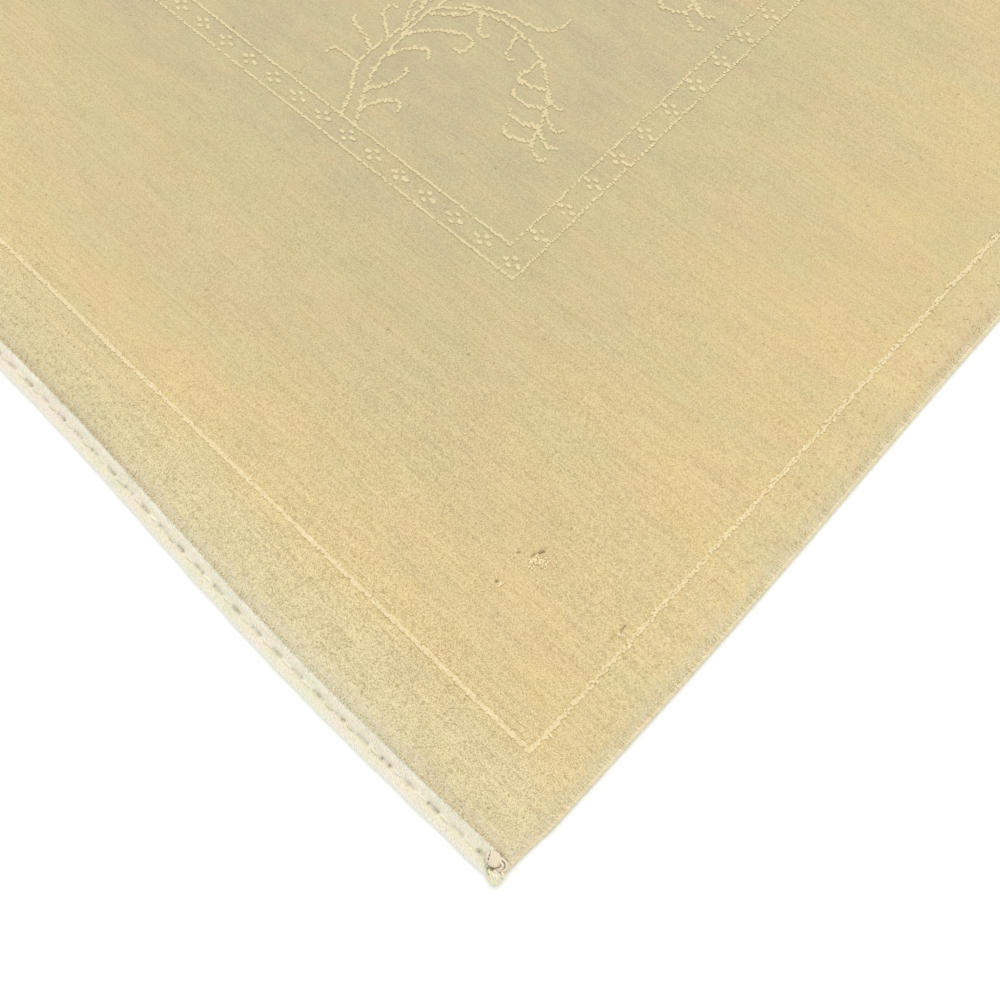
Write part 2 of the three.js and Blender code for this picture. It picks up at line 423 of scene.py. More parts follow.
def makeWool(name, strands=False):
    material, tree, surface = startMaterial(name, woolPile["margin"], woolPile["finish"])
    place = addNode(tree, "TexCoord").outputs["Object"]

    # batches of yarn along the weft, patches of two tones drawn out the same way, and fine streaks
    noises = {}
    for key in ("batch", "patch", "streak"):
        long, wide, detail, roughness = woolPile[key]
        drawn = addNode(tree, "Mapping", {"Scale": (1 / long, 1 / wide, 1)}, {"Vector": place})
        noise = {"Scale": 1, "Detail": detail, "Roughness": roughness}
        noises[key] = addNode(tree, "TexNoise", noise, {"Vector": drawn})
    # the middle darker and greyer, painted shade where the light falls off, with uneven batches of yarn over
    # it
    uneven = addNode(tree, "MapRange", spread(*woolPile["batchMargin"]), {0: noises["batch"]})
    both = {0: marginShare(tree, place), 1: uneven}
    margin = addNode(tree, "Math", {"operation": "ADD", "use_clamp": True}, both)
    base = addNode(tree, "Mix", between(woolPile["middle"], woolPile["margin"]), {0: margin})
    tones = addNode(tree, "SeparateColor", {}, {0: noises["patch"].outputs["Color"]})
    for channel, tone in enumerate(("camel", "sage")):
        share = addNode(tree, "MapRange", spread(*woolPile["toneShare"]), {0: tones.outputs[channel]})
        base = addNode(tree, "Mix", between(second=woolPile[tone]), {0: share, 6: base.outputs[2]})

    # the grain: thin dark gaps that wind between the curls of wool, painted shade, and finer fibres over
    # them, or along a loose strand from its root, darkened by painted shade, to its tip
    if strands:
        tip = addNode(tree, "Attribute", {"attribute_name": "tip"}).outputs["Fac"]
        tint = addNode(tree, "Attribute", {"attribute_name": "tint"}).outputs["Fac"]
        rootShading = {"operation": "MULTIPLY_ADD", 1: woolPile["strandRootShade"]}
        lift = addNode(tree, "Math", rootShading, {0: tip, 2: tint})
    else:
        curls = addNode(tree, "TexNoise", woolPile["curl"], {"Vector": place})
        fibres = addNode(tree, "TexNoise", woolPile["fibre"], {"Vector": place})
        gapShade = addNode(tree, "Math", {"operation": "SUBTRACT", 1: 0.5}, {0: curls})
        gapShade = addNode(tree, "Math", {"operation": "ABSOLUTE"}, {0: gapShade})
        curl = addNode(tree, "MapRange", spread(*woolPile["curlLift"]), {0: gapShade})
        fibre = addNode(tree, "MapRange", spread(*woolPile["fibreLift"]), {0: fibres})
        lift = addNode(tree, "Math", {"operation": "ADD"}, {0: curl, 1: fibre})
    streak = addNode(tree, "MapRange", spread(*woolPile["streakLift"]), {0: noises["streak"]})
    lift = addNode(tree, "Math", {"operation": "ADD", "use_clamp": True}, {0: lift, 1: streak})
    grain = addNode(tree, "Mix", between(woolPile["gapShade"], woolPile["tip"]), {0: lift})

    # the grain stands out towards the ends, where the pile is least trodden, and less in the middle
    calm, lively = woolPile["contrast"]
    nearEnds = outerShare(tree, place, woolPile["livelySpan"])
    contrast = addNode(tree, "MapRange", {3: calm, 4: lively}, {0: nearEnds})
    offMiddle = outerShare(tree, place, woolPile["calmSpan"])
    calmer = addNode(tree, "MapRange", {3: woolPile["calmMiddle"]}, {0: offMiddle})
    contrast = addNode(tree, "Math", {"operation": "MULTIPLY"}, {0: contrast, 1: calmer})
    atEnds = outerShare(tree, place, woolPile["liveliestSpan"])
    raised = {"operation": "MULTIPLY_ADD", 1: woolPile["liveliest"]}
    contrast = addNode(tree, "Math", raised, {0: atEnds, 2: contrast})
    colours = {0: contrast, 6: base.outputs[2], 7: grain.outputs[2]}
    colour = addNode(tree, "Mix", between(), colours)

    # painted light and shade outside the frame line: greyer near the ends for the shade of the pile's slope,
    # and palest along the edges, painted light against the shade of the crown
    for pale, most, spans in woolPile["rimLightAndShade"]:
        share = outerShare(tree, place, spans)
        share = addNode(tree, "Math", {"operation": "MULTIPLY", 1: most}, {0: share})
        colour = addNode(tree, "Mix", between(second=pale), {0: share, 6: colour.outputs[2]})
    if strands:
        finishSurface(tree, surface, colour)
        return material

    # a few small dark gaps between the knots, and darker worn clefts: both are painted shade
    specks = addNode(tree, "TexNoise", woolPile["speckling"], {"Vector": place})
    speckShade = addNode(tree, "MapRange", spread(*woolPile["speckShare"]), {0: specks})
    speckShade = addNode(tree, "Math", {"operation": "MULTIPLY"}, {0: speckShade, 1: contrast})
    cleftShade = addNode(tree, "Attribute", {"attribute_name": "cleftShade"}).outputs["Fac"]
    for key, share in (("speckShade", speckShade), ("cleftShade", cleftShade)):
        colour = addNode(tree, "Mix", between(second=woolPile[key]), {0: share, 6: colour.outputs[2]})
    finishSurface(tree, surface, colour, lift, woolPile["relief"])
    return material


# Bleached wool of the drawn lines: paler than the pile, with fibre grain and feet darkened by painted shade,
# and greyer in the middle as painted shade
lineWool = {
    "finish": (0.92, 0.2, 0.1, 0.6),
    "pale": "#E8D8AE",
    # the feet of the tufts, darker with painted shade between them
    "deep": "#C8B483",
    "shadedMiddle": "#C4B892",
    "fibre": {"Scale": 1 / (1.0 * mm), "Detail": 3, "Roughness": 0.6, "Distortion": 0.6},
    "footShadeWeight": 0.8,
    "fibreWeight": 2.0,
    "paleShare": (1.3, 2.1),
    "shadedMiddleShare": 0.4,
    "relief": (0.3, 0.3 * mm),
}


def makeLineWool():
    material, tree, surface = startMaterial("bleached_wool_knots", lineWool["pale"], lineWool["finish"])
    place = addNode(tree, "TexCoord").outputs["Object"]
    tip = addNode(tree, "Attribute", {"attribute_name": "tip"}).outputs["Fac"]
    share = addNode(tree, "Attribute", {"attribute_name": "tint"}).outputs["Fac"]
    fibre = addNode(tree, "TexNoise", lineWool["fibre"], {"Vector": place})
    # paler towards each tuft's top and darker at its feet, painted shade, broken by the fibre grain
    for part, weight in ((tip, lineWool["footShadeWeight"]), (fibre, lineWool["fibreWeight"])):
        share = addNode(tree, "Math", {"operation": "MULTIPLY_ADD", 1: weight}, {0: part, 2: share})
    share = addNode(tree, "MapRange", spread(*lineWool["paleShare"]), {0: share})
    colour = addNode(tree, "Mix", between(lineWool["deep"], lineWool["pale"]), {0: share})
    margin = marginShare(tree, place)
    shadedMiddle = addNode(tree, "MapRange", {3: lineWool["shadedMiddleShare"], 4: 0.0}, {0: margin})
    greyer = between(second=lineWool["shadedMiddle"])
    colour = addNode(tree, "Mix", greyer, {0: shadedMiddle, 6: colour.outputs[2]})
    finishSurface(tree, surface, colour, fibre, lineWool["relief"])
    return material


# The wool knots seen from the back: plump and dull, in rows and columns, darker between them
rugBack = {
    "finish": (0.95, 0.15, 0.0, 0.5),
    "yarn": "#D8C899",
    "thread": "#B7A67C",
    "pitch": 2.6 * mm,
    "yarnShare": (-1.6, 1.2),
    "relief": (0.5, 0.5 * mm),
}


def makeRugBack():
    material, tree, surface = startMaterial("wool_knots_from_below", rugBack["yarn"], rugBack["finish"])
    place = addNode(tree, "TexCoord").outputs["Object"]
    split = addNode(tree, "SeparateXYZ", {}, {0: place})
    turns = 2 * math.pi / rugBack["pitch"]
    waves = {}
    for axis in (0, 1):
        angle = addNode(tree, "Math", {"operation": "MULTIPLY", 1: turns}, {0: split.outputs[axis]})
        waves[axis] = addNode(tree, "Math", {"operation": "SINE"}, {0: angle})
    knots = addNode(tree, "Math", {"operation": "ADD"}, waves)
    share = addNode(tree, "MapRange", spread(*rugBack["yarnShare"]), {0: knots})
    colour = addNode(tree, "Mix", between(rugBack["thread"], rugBack["yarn"]), {0: share})
    finishSurface(tree, surface, colour, share, rugBack["relief"])
    return material


# Cream cotton and wool flat weave: fine slanting ribs, greener where the fold is soiled, pinker in places,
# painted shade in its slits and between its ribs, and painted light on its outer edge and inner roll
flatWeave = {
    "finish": (0.88, 0.2, 0.08, 0.5),
    "cream": "#E7DFC8",
    "green": "#DDDDC1",
    "pink": "#E9DCCC",
    # painted light that whitens the rounded outer edge and the inner roll
    "edge": "#FBF8EB",
    # painted shade in the slits and between the ribs
    "grooveShade": "#8C7F60",
    # scales per metre: fibres of 1.9 mm and patches of 29 mm
    "fray": {"Scale": 520, "Detail": 3, "Roughness": 0.6},
    "patch": {"Scale": 34, "Detail": 3, "Roughness": 0.55},
    "ribPitch": 1.9 * mm,
    "slant": 0.45,
    "wobble": 5 * mm,
    "ribWeight": 0.25,
    "greenShare": (0.45, 0.68, 0.1, 1.0),
    "pinkShare": (0.45, 0.3),
    "ribShare": (0.6, 0.1, 0.0, 0.36),
    "slitShare": (0.4, 0.62, 0.45, 1.25),
    "relief": (0.5, 0.5 * mm),
}


def makeFlatWeave():
    material, tree, surface = startMaterial("cream_flat_weave", flatWeave["cream"], flatWeave["finish"])
    place = addNode(tree, "TexCoord").outputs["Object"]
    paintedShade = addNode(tree, "Attribute", {"attribute_name": "paintedShade"}).outputs["Fac"]
    edge = addNode(tree, "Attribute", {"attribute_name": "edge"}).outputs["Fac"]
    run = addNode(tree, "UVMap", {"uv_map": "threads"})
    fray = addNode(tree, "TexNoise", flatWeave["fray"], {"Vector": place})
    patch = addNode(tree, "TexNoise", flatWeave["patch"], {"Vector": place})

    # ribs slant across the run of the cloth and wobble with its fibres
    split = addNode(tree, "SeparateXYZ", {}, {0: run})
    slanted = {"operation": "MULTIPLY_ADD", 1: flatWeave["slant"]}
    along = addNode(tree, "Math", slanted, {0: split.outputs[1], 2: split.outputs[0]})
    wobbling = {"operation": "MULTIPLY_ADD", 1: flatWeave["wobble"]}
    along = addNode(tree, "Math", wobbling, {0: fray, 2: along})
    turns = 2 * math.pi / flatWeave["ribPitch"]
    angle = addNode(tree, "Math", {"operation": "MULTIPLY", 1: turns}, {0: along})
    rib = addNode(tree, "Math", {"operation": "SINE"}, {0: angle})
    weighed = {"operation": "MULTIPLY_ADD", 1: flatWeave["ribWeight"]}
    lift = addNode(tree, "Math", weighed, {0: rib, 2: fray})

    # the painted shade of the slits is frayed, so that its edges break up into fibres
    frayed = addNode(tree, "MapRange", spread(*flatWeave["slitShare"]), {0: fray})
    slit = addNode(tree, "Math", {"operation": "MULTIPLY"}, {0: frayed, 1: paintedShade})
    ribs = addNode(tree, "MapRange", spread(*flatWeave["ribShare"]), {0: lift})
    grooveShade = addNode(tree, "Math", {"operation": "MAXIMUM"}, {0: ribs, 1: slit})
    green = addNode(tree, "MapRange", spread(*flatWeave["greenShare"]), {0: patch})
    pink = addNode(tree, "MapRange", spread(*flatWeave["pinkShare"]), {0: patch})
    colour = addNode(tree, "Mix", between(flatWeave["cream"], flatWeave["green"]), {0: green})
    # pink patches, then painted light on the edges and painted shade in the slits and between the ribs
    for key, share in (("pink", pink), ("edge", edge), ("grooveShade", grooveShade)):
        colour = addNode(tree, "Mix", between(second=flatWeave[key]), {0: share, 6: colour.outputs[2]})
    finishSurface(tree, surface, colour, lift, flatWeave["relief"])
    return material


# Plied wool and cotton yarn: dull, with fine darker flecks between its fibres and two tones in patches.
# Each yarn has a pale tone, a second one, a deep one and the size of its fibres.
yarn = {
    "finish": (0.9, 0.2, 0.1, 0.55),
    # a scale per metre: patches of 17 mm
    "patch": {"Scale": 60, "Detail": 2},
    "patchShare": (0.4, 0.65),
    "fibreShare": (0.3, 0.75),
    "relief": (0.5, 0.25 * mm),
}
yarnTones = {
    "overcast_wool_yarn": ("#ECE0BE", "#EADEB9", "#D3C49A", 1.0 * mm),
    "greenish_straw_yarn": ("#EBE7CD", "#E3E2C3", "#CBC5A2", 1.0 * mm),
    "sun_bleached_wool_ends": ("#EDDFB8", "#E9DAAF", "#DAC896", 1.0 * mm),
    "cotton_stitching_thread": ("#EAE5D0", "#E4E0C8", "#C9C2A4", 0.8 * mm),
    # this yarn's deep tone also colours the knot's blobs of painted shade
    "knotted_cotton_thread": ("#E2D7C0", "#DCD1B8", "#A68A6C", 0.9 * mm),
}


def makeYarn(name, pale, second, deep, grain):
    material, tree, surface = startMaterial(name, pale, yarn["finish"])
    place = addNode(tree, "TexCoord").outputs["Object"]
    noise = {"Scale": 1 / grain, "Detail": 4, "Roughness": 0.65}
    fibre = addNode(tree, "TexNoise", noise, {"Vector": place})
    patch = addNode(tree, "TexNoise", yarn["patch"], {"Vector": place})
    tint = addNode(tree, "Attribute", {"attribute_name": "tint"}).outputs["Fac"]
    tinted = addNode(tree, "Math", {"operation": "ADD"}, {0: fibre, 1: tint})
    share = addNode(tree, "MapRange", spread(*yarn["fibreShare"]), {0: tinted})
    patchShare = addNode(tree, "MapRange", spread(*yarn["patchShare"]), {0: patch})
    colour = addNode(tree, "Mix", between(pale, second), {0: patchShare})
    colour = addNode(tree, "Mix", between(deep), {0: share, 7: colour.outputs[2]})
    finishSurface(tree, surface, colour, fibre, yarn["relief"])
    return material


woolBody = makeWool("hand_knotted_wool_pile")
woolStrands = makeWool("hand_spun_wool_tips", strands=True)
bleachedKnots = makeLineWool()
knotsBelow = makeRugBack()
creamWeave = makeFlatWeave()
yarns = [makeYarn(name, *tones) for name, tones in yarnTones.items()]
overcastYarn, tailYarn, paleWool, stitchThread, knotYarn = yarns
print("materials made")

# The knotted body
knottedBody = {
    "cell": 11 * mm,
    "edgeSteps": [0, 0.5, 1.4, 2.9, 5.2, 8.0, 11.0],
    "fineStep": 0.9 * mm,
    "fineRim": 2 * mm,
    "fineX": [(464, 486), (551, 561)],
    "fineY": [(-771, -762), (-744, -726)],
    "wornDepth": 1.3 * mm,
    "mostWorn": 0.85,
}


# Places of the grid lines on a straight-edged rug: close over the rounded rim and round the worn spots
def gridLines(half, fineSpans):
    rim = [step * mm for step in knottedBody["edgeSteps"]]
    inner = half - rim[-1]
    count = round(2 * inner / knottedBody["cell"])
    lines = set(np.linspace(-inner, inner, count + 1))
    for low, high in fineSpans:
        start, stop = low * mm - knottedBody["fineRim"], high * mm + knottedBody["fineRim"]
        lines = {line for line in lines if not start < line < stop}
        lines |= set(np.arange(low * mm, high * mm, knottedBody["fineStep"]))
    lines |= {-half + step for step in rim[:-1]} | {half - step for step in rim[:-1]}
    return np.array(sorted(lines))


def makeKnottedBody():
    inSelvage = rug["selvageWidth"] + rug["seamGap"] - crown["overSelvage"]
    inFold = rug["foldWidth"] + rug["seamGap"] - crown["overFold"]
    halfX, halfY = rug["width"] / 2 - inSelvage, rug["length"] / 2 - inFold
    linesX = gridLines(halfX, knottedBody["fineX"])
    linesY = gridLines(halfY, knottedBody["fineY"])
    bm, atX, atY = startGrid(len(linesX) - 1, len(linesY) - 1)
    x, y = linesX[atX], linesY[atY]
    shareX, shareY = (x / halfX + 1) / 2, (y / halfY + 1) / 2
    # the edges lean on both x and y, so a place between them settles in a few passes
    for _ in range(3):
        low, high = leftEdge(y) + inSelvage, rightEdge(y) - inSelvage
        x = low + shareX * (high - low)
        low, high = nearEdge(x) + inFold, farEdge(x) - inFold
        y = low + shareY * (high - low)
    setPlaces(bm, np.stack([x, y, bodyHeight(x, y)], 1))
    # painted shade in each worn cleft, darker as the cleft is deeper
    cleftShade = bm.verts.layers.float.new("cleftShade")
    for vert, depth in zip(bm.verts, cleftDepth(x, y)):
        vert[cleftShade] = min(knottedBody["mostWorn"], depth / knottedBody["wornDepth"])
    # walls down to the floor, and one flat face underneath
    rim = [edge for edge in bm.edges if edge.is_boundary]
    grown = bmesh.ops.extrude_edge_only(bm, edges=rim)["geom"]
    foot = [item for item in grown if isinstance(item, bmesh.types.BMVert)]
    footEdges = [item for item in grown if isinstance(item, bmesh.types.BMEdge) and item.is_boundary]
    for vert in foot:
        vert.co.z = 0
        vert[cleftShade] = 0
    for face in bmesh.ops.contextual_create(bm, geom=footEdges)["faces"]:
        face.material_index = 1
    bmesh.ops.recalc_face_normals(bm, faces=bm.faces[:])
    mesh = toMesh(bm, "knotted_body")
    mesh.shade_smooth()
    return addPiece("knotted_body", mesh, [woolBody, knotsBelow], "pile_body")


body = makeKnottedBody()

# The light design: knots of bleached wool, a little longer than the pile.
# A thin frame lies near the edge, and a row of flowers between the two lines of the inner border.
borders = {
    "frame": (564.9, 833.3),
    "outerLine": (312.1, 581.9),
    "innerLine": (290.1, 560.0),
    "flowerRow": (300.9, 571.0),
    "flowerPitch": 31.8,
}

# Spacing along a line, and each knot's size across and along the rug, in millimetres, where the
# line runs with the weft and with the warp; how far it drifts; and its rows of knots.
# With the warp, each few knots drift to one side and start again.
lineKnots = {
    "frame": ((1.9, 3.2, 2.7), (2.0, 2.4, 3.1), 0.6, (-0.7, 0.7)),
    "inner": ((1.9, 3.3, 2.7), (2.3, 3.4, 2.5), 0.4, (0,)),
    "driftCount": (5, 10),
    "driftShift": 0.2,
}

# One flower, each mark a knot, O a wide one
flowerChart = [
    "...O...",
    "oo...oo",
    "...O...",
]
flowerCell = (2.5, 4.1)
flowerKnots = {"o": (4.6, 4.0), "O": (6.0, 3.8)}

# A tree on two stems, drawn from a short table: boughs leave a stem at a height, each with its
# heading, length, bend and end curl, and long arches carry hanging leaves
treeKnots = {"pitch": 2.3, "size": (3.5, 3.2), "sizes": (0.85, 1.2)}
treeStems = {
    "left": [
        (92, -561), (80, -538), (64, -514), (63, -486), (66, -452), (60, -410), (67, -360), (56, -306),
        (44, -240), (14, -172), (-2, -96), (8, -22), (-10, 60), (-26, 140), (-14, 222), (2, 296),
    ],
    "right": [
        (109, -561), (93, -536), (79, -508), (74, -478), (71, -446), (75, -404), (69, -356), (71, -300),
        (54, -232), (27, -166), (5, -92), (17, -16), (6, 64), (-13, 146), (-6, 226), (2, 296),
    ],
}
treeBoughs = [
    ("left", -514, 172, 38, 14, 105), ("left", -497, 140, 44, 52, -58), ("left", -476, 152, 46, -26, -150),
    ("left", -458, 126, 44, -20, -128), ("left", -436, 112, 36, 26, -66), ("left", -412, 138, 40, 40, 70),
    ("right", -547, 80, 46, -62, -110), ("right", -528, 44, 44, 46, 34), ("right", -492, 66, 50, -40, -118),
    ("right", -466, 58, 88, -60, -196), ("right", -436, 30, 46, 12, 70), ("left", -372, 150, 62, -40, -150),
    ("right", -372, 42, 54, -70, -90), ("left", -338, 118, 48, 44, 60), ("right", -322, 70, 46, -30, 90),
    ("left", -286, 160, 74, 36, 120), ("left", -262, 130, 50, -50, -100), ("right", -280, 20, 60, 50, 110),
    ("right", -214, 36, 72, -54, -150), ("left", -204, 150, 70, 44, 90), ("left", -176, 170, 44, -60, -110),
    ("right", -150, 60, 58, -46, -120), ("right", -118, 20, 64, 44, 100), ("left", -128, 140, 66, 30, -140),
    ("left", -84, 120, 56, 48, 80), ("right", -70, 66, 60, -70, -120), ("left", -44, 160, 72, -52, -120),
    ("right", -20, 28, 70, 40, 110), ("left", 8, 132, 58, 46, 96), ("right", 34, 58, 64, -52, -130),
    ("left", 56, 168, 66, -50, -130), ("right", 84, 34, 62, 46, 96), ("left", 104, 136, 58, 50, 90),
    ("right", 132, 60, 58, -56, -120), ("left", 158, 160, 56, -48, -110), ("right", 182, 36, 52, 50, 90),
    ("left", 206, 128, 46, 56, 80), ("right", 232, 56, 44, -60, -110), ("left", 252, 124, 40, 52, 90),
]
treeArches = [
    ("right", -428, 44, 206, -122), ("left", -330, 128, 216, 118), ("right", -252, 50, 236, -126),
    ("left", -148, 130, 214, 116), ("right", -52, 48, 216, -120), ("left", 34, 132, 190, 112),
    ("right", 112, 50, 168, -108), ("left", 180, 126, 140, 104),
]

# What an arch carries: a companion under its back, given by its rise, heading, shares of the
# arch's length and bend, and curl; twigs and pairs of leaves, each at a share of the arch
archCarries = {
    "companion": (6, -14, 0.52, 0.34, 118),
    "twigs": [(0.2, 30, 110), (0.4, 34, 120), (0.58, 34, 130)],
    "twigHeading": -62,
    "twigBend": -20,
    "leaves": [(0.74, 34), (0.83, 38), (0.92, 36), (1.0, 32)],
    "leafPair": [(126, 0, -46, -60), (-138, -6, 44, 70)],
}


def curveThrough(points, step):
    p = np.array(points, float)
    p = np.vstack([2 * p[0] - p[1], p, 2 * p[-1] - p[-2]])
    runs = []
    for a, b, c, d in zip(p, p[1:], p[2:], p[3:]):
        count = max(2, round(np.linalg.norm(c - b) / step))
        t = np.linspace(0, 1, count, endpoint=False)[:, None]
        square, cube = 2 * a - 5 * b + 4 * c - d, 3 * b - a - 3 * c + d
        runs.append((2 * b + (c - a) * t + square * t**2 + cube * t**3) / 2)
    return np.vstack(runs)


# A bough from its foot, bending evenly and curling up over the last part of its length
def growBough(start, heading, length, turn, curl=0):
    count = max(4, round(2 * length / treeKnots["pitch"]))
    t = (np.arange(count) + 0.5) / count
    angle = np.radians(heading + turn * t + curl * np.clip((t - 0.6) / 0.4, 0, 1) ** 1.3)
    steps = np.stack([np.cos(angle), np.sin(angle)], 1) * length / count
    return np.vstack([start, start + np.cumsum(steps, 0)])


def growArch(start, heading, length, turn):
    arch = growBough(start, heading, length, turn)
    way = -np.sign(turn)
    rise, aside, shareLong, shareTurn, curl = archCarries["companion"]
    foot = arch[len(arch) // 10] + [0, rise]
    lines = [arch, growBough(foot, heading + aside * way, length * shareLong, turn * shareTurn, curl * way)]
    for share, twig, curl in archCarries["twigs"]:
        at = round((len(arch) - 1) * share)
        ahead = arch[at] - arch[at - 1]
        aim = math.degrees(math.atan2(ahead[1], ahead[0])) + archCarries["twigHeading"] * way
        lines.append(growBough(arch[at], aim, twig, archCarries["twigBend"] * way, curl * way))
    for share, leaf in archCarries["leaves"]:
        at = arch[round((len(arch) - 1) * share)]
        for aside, longer, leafTurn, curl in archCarries["leafPair"]:
            lines.append(growBough(at, 90 + aside * way, leaf + longer, leafTurn * way, curl * way))
    return lines


# The tree's lines fall on the weave's own grid, one knot for each place that they cross
def drawTree():
    pitch = treeKnots["pitch"]
    stems = {side: curveThrough(points, pitch / 2) for side, points in treeStems.items()}
    lines = list(stems.values())
    for side, height, *shape in treeBoughs:
        stem = stems[side]
        lines.append(growBough(stem[np.abs(stem[:, 1] - height).argmin()], *shape))
    for side, height, *shape in treeArches:
        stem = stems[side]
        lines += growArch(stem[np.abs(stem[:, 1] - height).argmin()], *shape)
    places = np.unique(np.rint(np.vstack(lines) / pitch), axis=0) * pitch
    sizes = np.array(treeKnots["size"]) * dice.uniform(*treeKnots["sizes"], (len(places), 1))
    return np.hstack([places, sizes])


# Four straight runs round a rectangle, each of one or more rows of knots
def drawRectangle(half, withWeft, withWarp, drift, rows):
    halfX, halfY = half
    runs = []
    for side, row in ((side, row) for side in (-1, 1) for row in rows):
        pitch, *size = withWeft
        x = np.arange(-halfX, halfX, pitch)
        runs.append(np.stack(np.broadcast_arrays(x, side * halfY + row, *size), 1))
        pitch, *size = withWarp
        y = np.arange(-halfY, halfY, pitch)
        blocks = np.repeat(np.arange(len(y)), dice.integers(*lineKnots["driftCount"], len(y)))[: len(y)]
        phase = np.concatenate([np.linspace(-1, 1, count) for count in np.bincount(blocks) if count])
        shift = dice.normal(0, lineKnots["driftShift"], blocks.max() + 1)
        x = side * halfX + row + drift * phase + shift[blocks]
        x = x + dice.normal(0, drift / 2, len(y))
        runs.append(np.stack(np.broadcast_arrays(x, y, *size), 1))
    return np.vstack(runs)


def drawFlowers():
    halfX, halfY = borders["flowerRow"]
    countX = round(2 * halfX / borders["flowerPitch"])
    countY = round(2 * halfY / borders["flowerPitch"])
    centres = [(x, y) for x in np.linspace(-halfX, halfX, countX + 1) for y in (-halfY, halfY)]
    centres += [(x, y) for y in np.linspace(-halfY, halfY, countY + 1)[1:-1] for x in (-halfX, halfX)]
    marks = []
    for row, line in enumerate(flowerChart):
        for column, mark in enumerate(line):
            if mark != ".":
                across = (column - len(line) // 2) * flowerCell[0]
                along = (len(flowerChart) // 2 - row) * flowerCell[1]
                marks.append((across, along, *flowerKnots[mark]))
    return np.array([(cx + dx, cy + dy, *size) for cx, cy in centres for dx, dy, *size in marks])


# A knot's tuft: a short upright bundle, five-sided, drawn in at the foot and domed at the tip
tuft = {
    "foot": 0.85,
    "deep": 1.2 * mm,
    "proud": 0.2 * mm,
    "dome": 0.04,
    "lean": (0.15 * mm, -0.3 * mm),
    "unevenLean": 0.2 * mm,
    "jitter": 0.25 * mm,
    "ragged": 0.28,
    "sizes": (0.88, 1.12),
    "heights": (0.75, 1.25),
    "turn": 0.2,
    "tint": 0.07,
}
tuftCorners, tuftFaces = makeBundle(5, tuft["foot"] / 2, 0.5, 1 - tuft["dome"])


def plantTufts(name, places, missing=0.0):
    places = places[dice.random(len(places)) >= missing]
    count = len(places)
    x, y = (places[:, axis] * mm + dice.normal(0, tuft["jitter"], count) for axis in (0, 1))
    sizeX, sizeY = (places[:, axis] * mm * dice.uniform(*tuft["sizes"], count) for axis in (2, 3))
    turn = dice.integers(0, 5, count) * 2 * math.pi / 5 + dice.normal(0, tuft["turn"], count)
    c, s = np.cos(turn)[:, None], np.sin(turn)[:, None]
    rise = tuftCorners[:, 2]
    ragged = 1 + dice.uniform(-1, 1, (count, len(tuftCorners), 2)) * tuft["ragged"]
    acrossX, acrossY = (tuftCorners[:, axis] * ragged[..., axis] for axis in (0, 1))
    foot = bodyHeight(x, y) - tuft["deep"]
    tall = tuft["deep"] + crown["belowTips"] + tuft["proud"] * dice.uniform(*tuft["heights"], count)
    lean = np.array(tuft["lean"]) + dice.normal(0, tuft["unevenLean"], (count, 2))
    copies = np.stack(
        [
            x[:, None] + (acrossX * c - acrossY * s) * sizeX[:, None] + lean[:, :1] * rise,
            y[:, None] + (acrossX * s + acrossY * c) * sizeY[:, None] + lean[:, 1:] * rise,
            foot[:, None] + rise * tall[:, None],
        ],
        -1,
    )
    tint = dice.normal(0, tuft["tint"], count)[:, None]
    mesh = joinCopies(name, copies, tuftFaces, tip=rise, tint=tint)
    return addPiece(name, mesh, [bleachedKnots], "pile_body")


innerLines = [drawRectangle(borders[line], *lineKnots["inner"]) for line in ("outerLine", "innerLine")]
designPieces = [
    plantTufts("frame_line", drawRectangle(borders["frame"], *lineKnots["frame"]), missing=0.06),
    plantTufts("inner_border_lines", np.vstack(innerLines), missing=0.08),
    plantTufts("inner_border_flowers", drawFlowers()),
    plantTufts("tree_lines", drawTree()),
]
print("design knotted")

# Loose ends of the pile: wool strands that curl out of it, thick along the margin of each end and
# sparser along the sides, and at the rim falling outwards over the selvage and the folded end
looseWool = {
    "spacing": 2.6 * mm,
    "insideWall": 0.2 * mm,
    "fieldShare": 0.004,
    "marginReach": 18 * mm,
    "alongSides": 0.3,
    "rimSpacing": 1.3 * mm,
    "rimInsideWall": 0.1 * mm,
    "rimReach": 3.4 * mm,
    "rimShorter": 0.3,
    "outwardReach": 3.0 * mm,
    "outwardPull": 1.0,
    "length": (2.6 * mm, 4.6 * mm),
    "thick": (0.34 * mm, 0.52 * mm),
    "lift": (-0.096 * mm, 0.072 * mm),
    "swing": 0.315,
    "rootDepth": 0.3 * mm,
    "tint": (0.62, 0.2),
    "mostTogether": 19000,
}
strandCorners, strandFaces = makeBundle(3, 1.0, 0.9, 0.5)


# Strands rise out of the pile, run over it with a sideways swing and dip back in
def curlStrands(x, y, heading, length, thick, lift):
    swing = dice.normal(0, looseWool["swing"], len(x)) * length
    rootZ = bodyHeight(x, y) - looseWool["rootDepth"]
    topZ = tipHeight(x, y) + lift
    t = strandCorners[:, 2]
    forward = length[:, None] * (0.25 * t + 0.75 * t**2)
    aside = swing[:, None] * np.sin(np.pi * t)
    rise = (topZ - rootZ)[:, None] * np.sin(np.pi * np.clip(t * 0.8, 0, 1))
    c, s = np.cos(heading)[:, None], np.sin(heading)[:, None]
    wide = aside - strandCorners[:, 0] * thick[:, None]
    high = rise - strandCorners[:, 1] * thick[:, None]
    placeX = x[:, None] + c * forward - s * wide
    placeY = y[:, None] + s * forward + c * wide
    return np.stack([placeX, placeY, rootZ[:, None] + high], -1)


